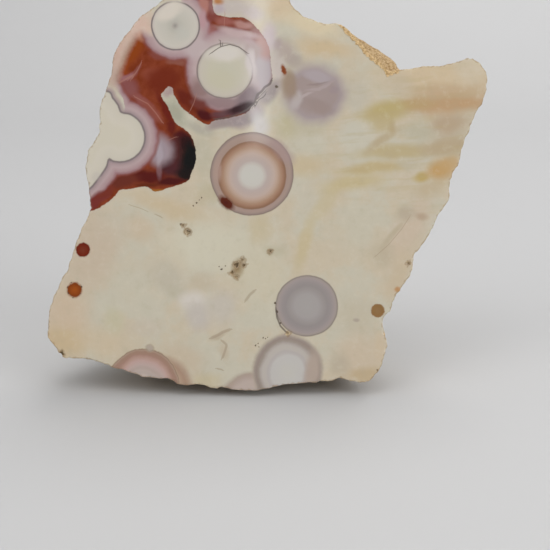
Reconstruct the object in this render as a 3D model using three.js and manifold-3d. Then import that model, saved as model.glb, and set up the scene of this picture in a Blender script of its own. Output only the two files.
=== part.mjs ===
// Ocean jasper display piece: one stone with a flat polished face that leans back, a rough weathered back,
// curved flake scars where it was broken from the rough, and a small ground flat that it stands on.
// Millimetres, +Z up. The origin is the bounding box's middle, on the surface that the stone stands on.
import * as THREE from "three";
import { mergeVertices } from "three/addons/utils/BufferGeometryUtils.js";
import { ImprovedNoise } from "three/addons/math/ImprovedNoise.js";
import Module from "manifold-3d";

// Driving dimensions
const faceLean = 15; // degrees from upright, top going back
const footThickness = 47; // behind the face, square to it, low down
const topThickness = 15; // the same, at the top of the face
const thinningPower = 0.85; // below 1, most of the thinning is low down
const faceHeight = 97;
const edgeClearance = 1.4; // the ground flat that the stone stands on is this far below the face's foot

// The face's edge seen square on, [across, up] from the middle of its foot, in runs that follow the edge
// anticlockwise from the bottom left corner. Both runs along the bottom are chipped.
const bottomLeftEdge = [
  [-50.2, 12.2], [-49.3, 11.3], [-47.7, 9.0], [-46.5, 7.5], [-44.4, 7.5], [-41.6, 7.5], [-38.0, 6.7],
  [-35.3, 5.4], [-31.2, 4.1], [-26.6, 2.8], [-24.8, 3.0], [-23.0, 2.3], [-21.9, 2.3], [-20.5, 1.3],
];
const bottomRightEdge = [
  [-18.0, 1.0], [-16.4, 1.4], [-14.1, 1.1], [-12.3, 0.5], [-10.7, 0.8], [-7.1, -0.1], [-2.6, -0.1],
  [0.6, 0.4], [4.0, 1.3], [7.4, 1.5], [11.5, 1.7], [14.9, 2.3], [16.5, 3.0], [18.6, 2.0], [22.4, 1.7],
];
const rightEdge = [
  [24.0, 2.9], [25.9, 5.4], [26.4, 7.6], [27.4, 10.1], [26.5, 14.0], [26.5, 16.7], [28.1, 18.3],
  [29.0, 21.0], [31.1, 24.5], [33.1, 27.6], [33.0, 30.4], [34.9, 32.6], [37.0, 36.3], [38.4, 39.2],
  [39.3, 41.0], [41.3, 43.3], [41.5, 46.5], [42.0, 49.2], [43.4, 51.3], [44.5, 55.6], [46.5, 60.8],
  [47.7, 64.0], [49.5, 66.7], [50.1, 71.5], [50.2, 73.0],
];
const shoulderEdge = [
  [49.3, 73.4], [48.0, 75.2], [46.1, 76.0], [42.4, 74.8], [40.9, 74.6], [38.8, 73.8], [35.6, 74.0],
  [32.4, 73.3], [30.4, 73.2],
];
const notchEdge = [
  [28.1, 72.1], [27.0, 71.7], [25.4, 73.8], [23.8, 75.1], [22.4, 76.5], [21.5, 78.1], [19.3, 80.8],
  [16.8, 83.3],
];
const crownEdge = [
  [14.3, 83.7], [11.5, 84.2], [8.1, 85.6], [5.6, 87.6], [4.8, 89.5], [4.3, 91.7], [2.7, 93.8],
  [-0.3, 95.1], [-3.5, 96.5], [-7.1, 97.0], [-11.0, 96.0], [-13.7, 95.6], [-17.1, 93.3], [-20.3, 91.5],
];
const leftEdge = [
  [-23.9, 88.8], [-26.2, 87.2], [-29.4, 84.7], [-31.2, 82.2], [-33.2, 79.7], [-34.8, 77.2],
  [-35.4, 72.6], [-36.8, 68.3], [-38.2, 64.5], [-38.2, 61.5], [-37.9, 59.7], [-39.8, 56.3],
  [-41.1, 53.3], [-41.1, 49.9], [-40.5, 45.8], [-40.3, 41.5], [-41.0, 39.2], [-42.3, 37.0],
  [-43.7, 33.1], [-45.1, 29.0], [-47.6, 23.5], [-49.4, 19.2], [-49.9, 15.4],
];
const faceMiddle = new THREE.Vector2(-2, 41); // every part of the edge can be seen from here

// The rough piece: a box of small cells, with walls that follow the face's edge and round off into the back
const wallCells = 42; // along each of the four walls, and each way over the back
const depthCells = 13;
const wallCrowding = 1.35; // above 1, the walls' rows crowd toward the face
const bodyRoundness = 2.9; // of the superellipse from the face's edge to the back: 2 is a dome
const sideDraft = 0.06; // how far the body has narrowed by its full thickness
const sawAllowance = 3; // in front of the face, taken off by the saw
const outlineFade = 0.42; // share of the thickness over which the edge's small wobbles die out
const wobbleWindow = 8; // neighbours to each side that the smooth outline is averaged over
const footDrop = 10; // how far the underside hangs below the face's foot before it is ground flat
const footSetBack = { from: 5, to: 34 }; // depths from which, and at which fully, the underside hangs
const edgeRecess = { height: 1, depth: 3 }; // the underside is chipped up behind the face's lower edge
const footBand = 18; // height over which the underside's drop dies out
const footCalm = 0.6; // share by which the lumps are lower on the underside
const raisedCorner = [-48, -21]; // stretch across, from no drop at the raised left corner to the full drop
const lumps = [
  { size: 24, height: 4.6 },
  { size: 10.5, height: 1.7 },
  { size: 5.4, height: 0.7 },
];
const lumpSinking = 0.68; // share of the lumps' height by which the surface sinks before they rise from it
const lumpFade = 8; // depth over which the lumps grow from the crisp edge of the face
const lumpShift = 7.3; // between the noise of one size of lump and the next
const heartDepth = 8; // behind the face's middle, of the point that the lumps grow away from

// A ledge of sandy rind bridges the notch behind the face, up to the straight line between two points.
const rindLedge = {
  from: new THREE.Vector3(15.8, 0, 85.6),
  to: new THREE.Vector3(31.7, 0, 74.4),
  deepest: 8, // no point of the notch is farther from the line
  depth: 3.5, // at which it stands out fully
  fade: 14, // depth over which it sinks back into the body
  taper: 0.06, // share of its length over which each end grows
};

// Flake scars: balls that bite into the body, [across, depth, up] of each middle, and a radius
const flakeScars = [
  { middle: [-46, 57, 84], radius: 50 },
  { middle: [55, 43, 70], radius: 35 },
  { middle: [-68, 40, 32], radius: 36 },
  { middle: [7, 84, 64], radius: 60 },
  { middle: [44, 42, 19], radius: 31 },
  { middle: [0, 35, 101], radius: 31 },
  { middle: [-29, 72, 15], radius: 40 },
];
const scarDetail = 13;
const scarRipple = { size: 13, height: 0.7 };

const wasm = await Module();
wasm.setup();
const perlin = new ImprovedNoise();
const { clamp, lerp, smoothstep } = THREE.MathUtils;
const tiny = 1e-6;

// Rounded hills with creases between them, from 0 in a crease to about 1
function billow(point, size, shift) {
  return Math.abs(perlin.noise(point.x / size + shift, point.y / size, point.z / size)) * 2;
}

function merged(geometry) {
  geometry.deleteAttribute("normal");
  geometry.deleteAttribute("uv");
  return mergeVertices(geometry, 1e-4);
}

function solidOf(geometry) {
  const vertProperties = geometry.attributes.position.array;
  const triVerts = new Uint32Array(geometry.index.array);
  return new wasm.Manifold(new wasm.Mesh({ numProp: 3, vertProperties, triVerts }));
}

function faceOutline() {
  const runs = [bottomLeftEdge, bottomRightEdge, rightEdge, shoulderEdge, notchEdge, crownEdge, leftEdge];
  const points = runs.flat().map(([across, up]) => new THREE.Vector3(across, 0, up));
  const count = 4 * wallCells;
  return new THREE.CatmullRomCurve3(points, true, "centripetal").getSpacedPoints(count).slice(0, count);
}

// The same outline with each point moved to the average of its neighbours
function smoothed(outline) {
  return outline.map((_, place) => {
    const average = new THREE.Vector3();
    for (let offset = -wobbleWindow; offset <= wobbleWindow; offset++) {
      average.add(outline[(place + offset + outline.length) % outline.length]);
    }
    return average.divideScalar(2 * wobbleWindow + 1);
  });
}

// The point of an outline that lies a share of the way round it
function pointAlong(outline, share) {
  const place = share * outline.length;
  const before = Math.floor(place) % outline.length;
  return outline[before].clone().lerp(outline[(before + 1) % outline.length], place - Math.floor(place));
}

// How far round a square a point lies, as a share of the way from its bottom left corner
function shareRound(across, up) {
  const reach = Math.max(Math.abs(across), Math.abs(up));
  if (reach < tiny) return 0;
  const [a, b] = [across / reach, up / reach];
  if (b < -1 + tiny) return (a + 1) / 8;
  if (a > 1 - tiny) return (b + 3) / 8;
  if (b > 1 - tiny) return (5 - a) / 8;
  return (7 - b) / 8;
}

// How far the body reaches behind the face at a height: thick at the foot, thin at the crown
function thicknessAt(up) {
  const share = clamp(up / faceHeight, 0, 1);
  return lerp(footThickness, topThickness, Math.pow(share, thinningPower));
}

// The step from a point of the face's edge to the ledge's line, at a depth behind it
function ledgeStep(edge, depth) {
  const { from, to, deepest, depth: fullDepth, fade, taper } = rindLedge;
  const line = to.clone().sub(from);
  const outward = new THREE.Vector3(-line.z, 0, line.x).normalize();
  const gap = from.clone().sub(edge).dot(outward);
  const along = edge.clone().sub(from).dot(line) / line.lengthSq();
  if (gap < 0 || gap > deepest || along < 0 || along > 1) return new THREE.Vector3();
  const ends = smoothstep(Math.min(along, 1 - along), 0, taper);
  const growing = Math.sin(Math.min(depth / fullDepth, 1) * (Math.PI / 2));
  const fading = Math.exp(Math.min(fullDepth - depth, 0) / fade);
  return outward.multiplyScalar(gap * ends * growing * fading);
}

// Shares of the full depth and the full reach, from the face's edge, turn 0, to the back's middle, turn 1
function roundingShares(turn) {
  const angle = turn * (Math.PI / 2);
  const [along, inward] = [Math.cos(angle), Math.sin(angle)];
  const scale = (along ** bodyRoundness + inward ** bodyRoundness) ** (-1 / bodyRoundness);
  return { depthShare: inward * scale, reach: along * scale * (1 - sideDraft * inward * scale) };
}

function lumpAt(point) {
  let height = 0;
  lumps.forEach((lump, index) => {
    height += (billow(point, lump.size, index * lumpShift) - lumpSinking) * lump.height;
  });
  return height * smoothstep(point.y, 0, lumpFade);
}

// A point of the walls or the back, in the frame of the face: X across, Y into the stone, Z up the face
function bodyPoint(edge, smoothEdge, turn) {
  const { depthShare, reach } = roundingShares(turn);
  const outline = edge.clone().lerp(smoothEdge, smoothstep(depthShare, 0, outlineFade));
  const across = faceMiddle.x + (outline.x - faceMiddle.x) * reach;
  const up = faceMiddle.y + (outline.z - faceMiddle.y) * reach;
  const depth = thicknessAt(up) * depthShare;
  const foot = smoothstep(-edge.z, -footBand, 0) * smoothstep(edge.x, ...raisedCorner) * reach;
  const hang = footDrop * smoothstep(depth, footSetBack.from, footSetBack.to);
  const recess = edgeRecess.height * smoothstep(depth, 0, edgeRecess.depth);
  const point = new THREE.Vector3(across, depth, up - foot * (hang - recess));
  point.addScaledVector(ledgeStep(edge, point.y), reach);
  const heart = new THREE.Vector3(faceMiddle.x, heartDepth, faceMiddle.y);
  const outward = point.clone().sub(heart).normalize();
  return point.addScaledVector(outward, lumpAt(point) * (1 - foot * footCalm));
}

// Where a point of the box of cells goes: across and up run from -1 to 1, along from face, 0, to back, 1
function cellPoint(outline, smoothOutline, across, along, up) {
  const fromMiddle = Math.max(Math.abs(across), Math.abs(up));
  const edge = pointAlong(outline, shareRound(across, up));
  if (along < tiny) {
    return new THREE.Vector3(faceMiddle.x, 0, faceMiddle.y).lerp(edge, fromMiddle).setY(-sawAllowance);
  }
  const turn = along < 1 - tiny ? Math.pow(along, wallCrowding) / 2 : 1 - fromMiddle / 2;
  return bodyPoint(edge, pointAlong(smoothOutline, shareRound(across, up)), turn);
}

function roughPiece() {
  const outline = faceOutline();
  const smoothOutline = smoothed(outline);
  const cells = merged(new THREE.BoxGeometry(2, 1, 2, wallCells, depthCells, wallCells));
  const positions = cells.attributes.position;
  const cell = new THREE.Vector3();
  for (let index = 0; index < positions.count; index++) {
    cell.fromBufferAttribute(positions, index);
    const point = cellPoint(outline, smoothOutline, cell.x, cell.y + 0.5, cell.z);
    positions.setXYZ(index, ...point.toArray());
  }
  return solidOf(cells);
}

function flakeScar({ middle, radius }) {
  const ball = merged(new THREE.IcosahedronGeometry(radius, scarDetail));
  const positions = ball.attributes.position;
  const point = new THREE.Vector3();
  for (let index = 0; index < positions.count; index++) {
    point.fromBufferAttribute(positions, index);
    const ripple = (billow(point, scarRipple.size, middle[0]) - 0.5) * scarRipple.height;
    point.setLength(point.length() + ripple);
    positions.setXYZ(index, ...point.toArray());
  }
  return solidOf(ball.translate(...middle));
}

// A block that reaches from a height or a depth outward, to cut with
function cuttingBlock(axis, edge) {
  const size = 400;
  const middle = new THREE.Vector3().setComponent(axis, edge - size / 2);
  return solidOf(merged(new THREE.BoxGeometry(size, size, size).translate(...middle.toArray())));
}

function stoneGeometry() {
  const chipped = flakeScars.map(flakeScar).reduce((body, scar) => body.subtract(scar), roughPiece());
  const sawn = chipped.subtract(cuttingBlock(1, 0));
  const standing = sawn.rotate([-faceLean, 0, 0]).subtract(cuttingBlock(2, -edgeClearance));
  const { vertProperties, triVerts } = standing.getMesh();
  const indexed = new THREE.BufferGeometry();
  indexed.setAttribute("position", new THREE.BufferAttribute(vertProperties, 3));
  indexed.setIndex(new THREE.BufferAttribute(triVerts, 1));
  const geometry = indexed.toNonIndexed();
  geometry.computeBoundingBox();
  const { min, max } = geometry.boundingBox;
  geometry.translate(-(min.x + max.x) / 2, -(min.y + max.y) / 2, -min.z);
  geometry.computeVertexNormals();
  return geometry;
}

const creamJasper = new THREE.MeshStandardMaterial({ color: 0xc6bda2, roughness: 0.3, metalness: 0 });
const stone = new THREE.Mesh(stoneGeometry(), creamJasper);
stone.name = "ocean_jasper";

const displayPiece = new THREE.Group();
displayPiece.add(stone);
export default displayPiece;
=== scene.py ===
# Ocean jasper display stone: a polished face with orbs and a red-brown vein, and weathered rind behind it.
# Metres, in the row frame. Markings are placed in millimetres on the face: across, up and into the stone.
import math

import bpy
import numpy as np
from mathutils import Matrix, Vector
from mathutils.kdtree import KDTree


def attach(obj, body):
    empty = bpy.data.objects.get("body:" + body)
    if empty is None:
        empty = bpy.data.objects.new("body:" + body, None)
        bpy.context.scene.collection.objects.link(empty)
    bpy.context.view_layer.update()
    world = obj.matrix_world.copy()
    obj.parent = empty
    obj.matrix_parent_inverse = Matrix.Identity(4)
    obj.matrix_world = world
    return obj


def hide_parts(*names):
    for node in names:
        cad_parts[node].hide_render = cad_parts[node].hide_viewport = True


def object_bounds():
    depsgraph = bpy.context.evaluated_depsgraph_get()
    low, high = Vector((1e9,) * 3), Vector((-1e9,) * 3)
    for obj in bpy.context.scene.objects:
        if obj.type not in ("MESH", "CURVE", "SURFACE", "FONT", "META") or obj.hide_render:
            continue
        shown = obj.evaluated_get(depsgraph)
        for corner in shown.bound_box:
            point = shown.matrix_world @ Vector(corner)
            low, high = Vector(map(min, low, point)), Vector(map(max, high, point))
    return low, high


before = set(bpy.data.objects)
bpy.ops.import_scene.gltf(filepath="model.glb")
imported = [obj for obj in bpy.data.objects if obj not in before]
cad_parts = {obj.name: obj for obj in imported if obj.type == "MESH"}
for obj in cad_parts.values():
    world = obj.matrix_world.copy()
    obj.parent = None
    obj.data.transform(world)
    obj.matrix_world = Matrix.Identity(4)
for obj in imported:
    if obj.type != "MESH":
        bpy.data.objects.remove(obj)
bpy.ops.object.select_all(action="DESELECT")
cadLow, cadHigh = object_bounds()
mm = 0.001

faceSetting = {
    "lean": math.radians(15.0),  # from upright, top going back
    "clearance": 1.4 * mm,  # of the face's foot above the ground
}


def placesOf(thing):
    places = np.empty(len(thing.data.vertices) * 3, np.float32)
    thing.data.vertices.foreach_get("co", places)
    return places.reshape(-1, 3)


def findFace(lean, clearance):
    # the frame of the face: X across, Y into the stone, Z up the face, from its foot
    places = placesOf(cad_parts["ocean_jasper"])
    front = float((places @ np.array([0.0, math.cos(lean), -math.sin(lean)])).min())
    foot = Vector((0.0, (front + clearance * math.sin(lean)) / math.cos(lean), clearance))
    return Matrix.Translation(foot) @ Matrix.Rotation(-lean, 4, "X")


faceFrame = findFace(**faceSetting)


def facePoint(across, up, depth=0.0):
    # millimetres on the face to metres in the row frame
    return faceFrame @ (Vector((across, depth, up)) * mm)


def pickOnly(thing):
    bpy.ops.object.select_all(action="DESELECT")
    thing.select_set(True)
    bpy.context.view_layer.objects.active = thing


def setPlaces(thing, places):
    thing.data.vertices.foreach_set("co", places.astype(np.float32).ravel())
    thing.data.update()


def editVertices(thing, chosen, operation, **settings):
    # runs a mesh operation on those vertices alone
    pickOnly(thing)
    bpy.ops.object.mode_set(mode="EDIT")
    bpy.ops.mesh.select_mode(type="VERT")
    bpy.ops.mesh.select_all(action="DESELECT")
    bpy.ops.object.mode_set(mode="OBJECT")
    thing.data.vertices.foreach_set("select", chosen)
    bpy.ops.object.mode_set(mode="EDIT")
    operation(**settings)
    bpy.ops.object.mode_set(mode="OBJECT")


def easeBetween(values, low, high):
    share = np.clip((values - low) / (high - low), 0.0, 1.0)
    return share * share * (3.0 - 2.0 * share)


def addModifier(thing, kind, **settings):
    made = thing.modifiers.new(kind.title(), kind)
    for name, value in settings.items():
        setattr(made, name, value)
    pickOnly(thing)
    bpy.ops.object.modifier_apply(modifier=made.name)


stoneShape = {
    "cutAllowance": 1.5 * mm,  # beyond the face and the base, cut off again once the sides are rough
    "voxel": 0.56 * mm,
    "softening": 5,  # rounds of smoothing, so that no flat facets show
    "rimFade": 3.5 * mm,  # depth over which the roughness grows from the crisp edge of the face
    "rimShare": 0.40,  # of the roughness that is left at that edge
    "chipFade": (0.5 * mm, 2.5 * mm),  # depths between which the rim chips fade out
    "scarEdge": (0.7, 1.3),  # millimetres from a flake scar, over which its waves give way to rind
    "sharpAngle": math.radians(40),  # edges past it aren't shaded smooth
}
# Flake scars, as in the solid: across, depth and up of a ball's middle, and its radius, in millimetres
flakeScars = [
    (-46, 57, 84, 50), (55, 43, 70, 35), (-68, 40, 32, 36), (7, 84, 64, 60),
    (44, 42, 19, 31), (0, 35, 101, 31), (-29, 72, 15, 40),
]
roughLayers = [
    {"name": "rindLumps", "kind": "CLOUDS", "size": 6.0 * mm, "height": 1.3 * mm, "group": "rind"},
    {"name": "rindKnobs", "kind": "STUCCI", "size": 2.3 * mm, "height": 0.32 * mm, "group": "rind"},
    {"name": "rindGrain", "kind": "CLOUDS", "size": 0.9 * mm, "height": 0.34 * mm, "group": "rind"},
    {"name": "rimChips", "kind": "CLOUDS", "size": 1.3 * mm, "height": 0.9 * mm, "group": "rim"},
    {"name": "scarWaves", "kind": "STUCCI", "size": 5.0 * mm, "height": 0.9 * mm, "group": "fresh"},
    {"name": "scarGrain", "kind": "CLOUDS", "size": 1.4 * mm, "height": 0.28 * mm, "group": "fresh"},
]


def scarGap(places):
    # millimetres from the nearest flake scar, for places in the frame of the face
    gaps = [np.linalg.norm(places / mm - np.array(scar[:3]), axis=1) - scar[3] for scar in flakeScars]
    return np.abs(gaps).min(0)


def giveGroup(thing, name, weights, levels=20):
    group = thing.vertex_groups.new(name=name)
    steps = np.round(np.clip(weights, 0.0, 1.0) * levels).astype(int)
    for step in range(1, levels + 1):
        group.add(np.flatnonzero(steps == step).tolist(), step / levels, "REPLACE")


def roughStone():
    # a copy of the solid in the frame of the face, reaching a little past the face and the base
    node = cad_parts["ocean_jasper"]
    stone = bpy.data.objects.new("jasperStone", node.data.copy())
    bpy.context.scene.collection.objects.link(stone)
    everywhere = np.ones(len(stone.data.vertices), bool)
    editVertices(stone, everywhere, bpy.ops.mesh.remove_doubles, threshold=0.001 * mm)
    near = 0.01 * mm
    onBase = placesOf(stone)[:, 2] < near
    stone.data.transform(faceFrame.inverted())
    places = placesOf(stone)
    onFace = places[:, 1] < near
    down = faceFrame.to_3x3().inverted() @ Vector((0.0, 0.0, -stoneShape["cutAllowance"]))
    places[onFace] += np.array([0.0, -stoneShape["cutAllowance"], 0.0])
    places[onBase] += np.array(down)
    setPlaces(stone, places)
    stone.data.remesh_voxel_size = stoneShape["voxel"]
    bpy.ops.object.voxel_remesh()
    addModifier(stone, "SMOOTH", factor=0.5, iterations=stoneShape["softening"])
    return stone


def roughenSides(stone):
    places = placesOf(stone)
    grown = easeBetween(places[:, 1], 0.0, stoneShape["rimFade"])
    reach = stoneShape["rimShare"] + (1.0 - stoneShape["rimShare"]) * grown
    fresh = 1.0 - easeBetween(scarGap(places), *stoneShape["scarEdge"])
    giveGroup(stone, "rind", (1.0 - fresh) * reach)
    giveGroup(stone, "fresh", fresh * reach)
    giveGroup(stone, "rim", 1.0 - easeBetween(places[:, 1], *stoneShape["chipFade"]))
    for layer in roughLayers:
        texture = bpy.data.textures.new(layer["name"], layer["kind"])
        texture.noise_scale = layer["size"]
        addModifier(
            stone, "DISPLACE", texture=texture, texture_coords="LOCAL", strength=layer["height"],
            mid_level=0.5, vertex_group=layer["group"],
        )


# Pits in the face: across and up, radius and depth, in millimetres
facePits = [
    (-18.0, 36.2, 0.75, 0.5), (-19.2, 37.8, 0.4, 0.3), (-7.0, 28.8, 0.75, 0.5), (-5.7, 29.9, 0.45, 0.35),
    (-5.4, 28.7, 0.5, 0.4), (-8.0, 27.0, 0.55, 0.35), (-7.0, 26.0, 0.5, 0.3), (0.7, 31.9, 0.4, 0.35),
    (-46.8, 8.6, 0.7, 0.6), (4.7, 13.3, 0.4, 0.3), (32.1, 29.2, 0.4, 0.3),
]
sawBlock = {"width": 106 * mm, "height": 104 * mm, "low": -4 * mm, "cell": 0.45 * mm, "back": 70 * mm}
pitShape = {"dense": 1.6, "floor": 0.35}  # both as shares of its radius: the finer grid, and its even floor


def fromPit(places, across, up):
    # aside of and above the middle of a pit, in metres
    return (places[:, ::2].astype(np.float64) - np.array((across, up)) * mm).T


def pitShare(places, across, up, radius):
    # distance from the middle of a pit as a share of its radius, which goes in and out round it
    aside, above = fromPit(places, across, up)
    turn = np.arctan2(above, aside)
    wobble = 1.0 + 0.2 * np.sin(3.0 * turn + across) + 0.13 * np.sin(5.0 * turn + up)
    return np.hypot(aside, above) / (radius * mm * wobble)


def sawFace(stone):
    # keeps what lies behind a dense flat grid, in which the pits are sunk
    columns = round(sawBlock["width"] / sawBlock["cell"])
    rows = round(sawBlock["height"] / sawBlock["cell"])
    middleUp = sawBlock["low"] + sawBlock["height"] / 2
    bpy.ops.mesh.primitive_grid_add(
        x_subdivisions=columns, y_subdivisions=rows, size=1.0, location=(0, 0, middleUp),
        rotation=(math.radians(90), 0, 0),
    )
    block = bpy.context.object
    block.scale = (sawBlock["width"], sawBlock["height"], 1.0)
    bpy.ops.object.transform_apply(location=True, rotation=True, scale=True)
    for across, up, radius, _ in facePits:
        nearPit = np.hypot(*fromPit(placesOf(block), across, up)) < pitShape["dense"] * radius * mm
        editVertices(block, nearPit, bpy.ops.mesh.subdivide, number_cuts=2)
    places = placesOf(block)
    for across, up, radius, deep in facePits:
        sunk = 1.0 - easeBetween(pitShare(places, across, up, radius), pitShape["floor"], 1.0)
        places[:, 1] += deep * mm * sunk
    setPlaces(block, places)
    bpy.ops.object.mode_set(mode="EDIT")
    bpy.ops.mesh.select_mode(type="EDGE")
    bpy.ops.mesh.select_all(action="DESELECT")
    bpy.ops.mesh.select_non_manifold()
    bpy.ops.mesh.extrude_region_move(TRANSFORM_OT_translate={"value": (0, sawBlock["back"], 0)})
    bpy.ops.mesh.edge_face_add()
    bpy.ops.mesh.select_all(action="SELECT")
    bpy.ops.mesh.normals_make_consistent(inside=False)
    bpy.ops.object.mode_set(mode="OBJECT")
    addModifier(stone, "BOOLEAN", operation="INTERSECT", solver="MANIFOLD", object=block)
    bpy.data.objects.remove(block)


def grindBase(stone):
    stone.data.transform(faceFrame)
    bpy.ops.mesh.primitive_cube_add(size=0.4, location=(0, 0, -0.2))
    ground = bpy.context.object
    addModifier(stone, "BOOLEAN", operation="DIFFERENCE", solver="MANIFOLD", object=ground)
    bpy.data.objects.remove(ground)
    setPlaces(stone, np.clip(placesOf(stone), np.array(cadLow), np.array(cadHigh)))


def edgeEnds(thing):
    ends = np.empty(len(thing.data.edges) * 2, np.int32)
    thing.data.edges.foreach_get("vertices", ends)
    return ends.reshape(-1, 2)


def dropIdleCorners(thing):
    # corners with only two edges, which the cuts leave along the rim
    edgeCounts = np.bincount(edgeEnds(thing).ravel(), minlength=len(thing.data.vertices))
    editVertices(thing, edgeCounts == 2, bpy.ops.mesh.dissolve_verts)


stone = roughStone()
print("remeshed:", len(stone.data.polygons), "faces")
roughenSides(stone)
sawFace(stone)
grindBase(stone)
dropIdleCorners(stone)
bpy.ops.object.shade_smooth_by_angle(angle=stoneShape["sharpAngle"])
stone.data.calc_loop_triangles()
print("stone:", len(stone.data.loop_triangles), "triangles")

# The outline of the red-brown jasper on the face, across and up in millimetres
ironOutline = [
    (-41.6, 40.3), (-40.3, 41.0), (-38.9, 41.4), (-36.4, 42.9), (-34.6, 44.5), (-33.5, 45.8), (-31.3, 46.0),
    (-29.0, 46.5), (-27.1, 46.4), (-25.7, 45.5), (-24.1, 45.7), (-22.3, 46.4), (-20.1, 47.0), (-18.0, 47.9),
    (-17.3, 49.5), (-16.4, 51.7), (-16.2, 54.3), (-16.8, 57.0), (-17.8, 58.8), (-19.2, 59.9), (-20.7, 60.9),
    (-21.5, 62.2), (-22.3, 64.1), (-23.2, 65.8), (-23.9, 66.7), (-24.1, 67.5), (-23.2, 68.7), (-22.3, 69.4),
    (-21.6, 69.0), (-21.2, 67.5), (-20.4, 66.0), (-19.4, 64.6), (-17.6, 63.1), (-15.8, 61.8), (-13.4, 60.6),
    (-12.3, 61.5), (-9.4, 62.0), (-7.1, 62.6), (-4.8, 63.3), (-3.7, 64.5), (-2.3, 66.4), (-1.2, 68.3),
    (0.4, 69.5), (1.1, 70.6), (1.1, 72.4), (0.8, 74.7), (0.6, 77.2), (-0.2, 79.6), (-1.7, 81.9),
    (-3.4, 83.7), (-5.4, 85.0), (-8.5, 85.1), (-10.3, 85.4), (-11.7, 85.8), (-12.3, 87.2), (-13.2, 90.5),
    (-19.0, 90.5), (-20.0, 84.0), (-24.4, 81.0), (-27.1, 81.3), (-28.9, 81.5), (-30.3, 79.9), (-31.9, 77.2),
    (-33.1, 74.0), (-33.9, 71.7), (-34.1, 69.9), (-33.7, 67.9), (-32.6, 66.0), (-32.6, 60.6), (-35.7, 54.9),
    (-38.0, 50.4), (-41.6, 44.7),
]
# The outline of the cream bay at the left edge, with the half orb at its right
bayOutline = [
    (-44.8, 68.5), (-36.6, 68.3), (-35.1, 66.7), (-33.9, 65.1), (-33.2, 63.5), (-31.1, 63.0), (-29.1, 61.5),
    (-28.1, 59.6), (-27.8, 57.9), (-28.1, 56.0), (-29.2, 54.1), (-31.1, 52.7), (-33.2, 52.2), (-35.1, 52.4),
    (-36.0, 52.9), (-36.6, 51.0), (-38.5, 48.3), (-40.5, 46.0), (-44.8, 43.5),
]
# The strip of sandy ochre rind in the notch at the upper right
ochreOutline = [
    (16.2, 83.8), (17.2, 82.2), (18.8, 80.4), (21.1, 78.1), (22.4, 76.3), (24.7, 74.5), (26.1, 73.3),
    (27.2, 71.7), (28.2, 72.0), (30.2, 72.9), (32.0, 76.0), (26.0, 83.0), (18.0, 87.0),
]
# Fine lines on the face, by colour and cover: half width in millimetres, and the points that each passes
lineGroups = [
    {"name": "crack", "tint": "5c524e", "cover": 0.75, "lines": [
        (0.10, [(-12.9, 76.8), (-11.4, 77.9), (-10.5, 78.4), (-10.7, 79.6)]),
        (0.10, [(-10.5, 78.4), (-8.5, 78.9), (-6.4, 78.3), (-4.6, 77.0)]),
        (0.22, [(1.0, 70.8), (0.6, 69.9), (-0.6, 69.2), (-1.3, 68.2), (-2.3, 67.5), (-2.9, 65.6)]),
        (0.16, [(-2.9, 65.6), (-4.4, 64.2), (-6.6, 63.0), (-9.1, 62.3), (-11.8, 61.9)]),
        (0.09, [(-0.3, 67.7), (-0.9, 66.9), (-1.9, 66.4), (-2.7, 64.9)]),
        (0.17, [(2.0, 18.6), (2.2, 16.9), (3.0, 14.9), (4.5, 13.3)]),
    ]},
    {"name": "wrinkle", "tint": "978773", "cover": 0.5, "lines": [
        (0.26, [(-4.9, 20.7), (-3.9, 22.1), (-2.9, 22.9)]),
        (0.28, [(-12.7, 12.2), (-11.1, 12.9), (-10.2, 13.5), (-8.5, 14.1)]),
        (0.22, [(-10.2, 11.5), (-9.2, 10.6), (-9.7, 8.9), (-10.2, 7.6)]),
        (0.17, [(-11.3, 5.2), (-10.3, 5.0)]),
        (0.07, [(-31.2, 42.4), (-28.9, 41.7), (-27.3, 41.0)]),
        (0.12, [(-25.2, 40.2), (-24.1, 39.7)]),
        (0.06, [(24.4, 30.6), (27.6, 33.4), (30.6, 37.0), (32.4, 39.8)]),
    ]},
    {"name": "vein", "tint": "a87a6c", "cover": 0.45, "lines": [
        (0.12, [(-30.1, 67.0), (-27.1, 65.4), (-25.3, 63.3), (-23.9, 61.3)]),
        (0.09, [(-16.2, 67.4), (-16.6, 65.8), (-17.5, 63.9)]),
        (0.08, [(-9.6, 86.0), (-9.8, 83.0)]),
        (0.16, [(-33.6, 70.2), (-31.6, 71.3), (-30.3, 72.0)]),
        (0.12, [(-30.9, 70.9), (-29.5, 73.0), (-28.6, 74.8)]),
        (0.07, [(-22.4, 57.2), (-20.7, 57.9)]),
    ]},
]


def rounded(outline, steps=5):
    # a smooth closed curve through the points
    points = np.array(outline)
    before, after, later = np.roll(points, 1, 0), np.roll(points, -1, 0), np.roll(points, -2, 0)
    curve = []
    for share in np.arange(steps) / steps:
        curve.append(0.5 * (
            2 * points + (after - before) * share + (2 * before - 5 * points + 4 * after - later) * share**2
            + (3 * points - before - 3 * after + later) * share**3
        ))
    return np.stack(curve, 1).reshape(-1, 2)


def nearSegment(flat, start, end):
    # distance of each place to a segment, and on which side of it the place lies
    along = end - start
    share = np.clip(((flat - start) @ along) / (along @ along), 0.0, 1.0)
    gap = flat - start - share[:, None] * along
    side = np.sign(along[0] * gap[:, 1] - along[1] * gap[:, 0])
    return np.hypot(gap[:, 0], gap[:, 1]), side


def depthInside(flat, outline):
    # millimetres inside a closed outline, negative outside it
    curve = rounded(outline)
    nearest = np.full(len(flat), 1e9)
    inside = np.zeros(len(flat), bool)
    for start, end in zip(curve, np.roll(curve, -1, 0)):
        nearest = np.minimum(nearest, nearSegment(flat, start, end)[0])
        if start[1] != end[1]:
            crosses = (start[1] > flat[:, 1]) != (end[1] > flat[:, 1])
            meets = start[0] + (flat[:, 1] - start[1]) * (end[0] - start[0]) / (end[1] - start[1])
            inside ^= crosses & (flat[:, 0] < meets)
    return np.where(inside, nearest, -nearest)


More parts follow.
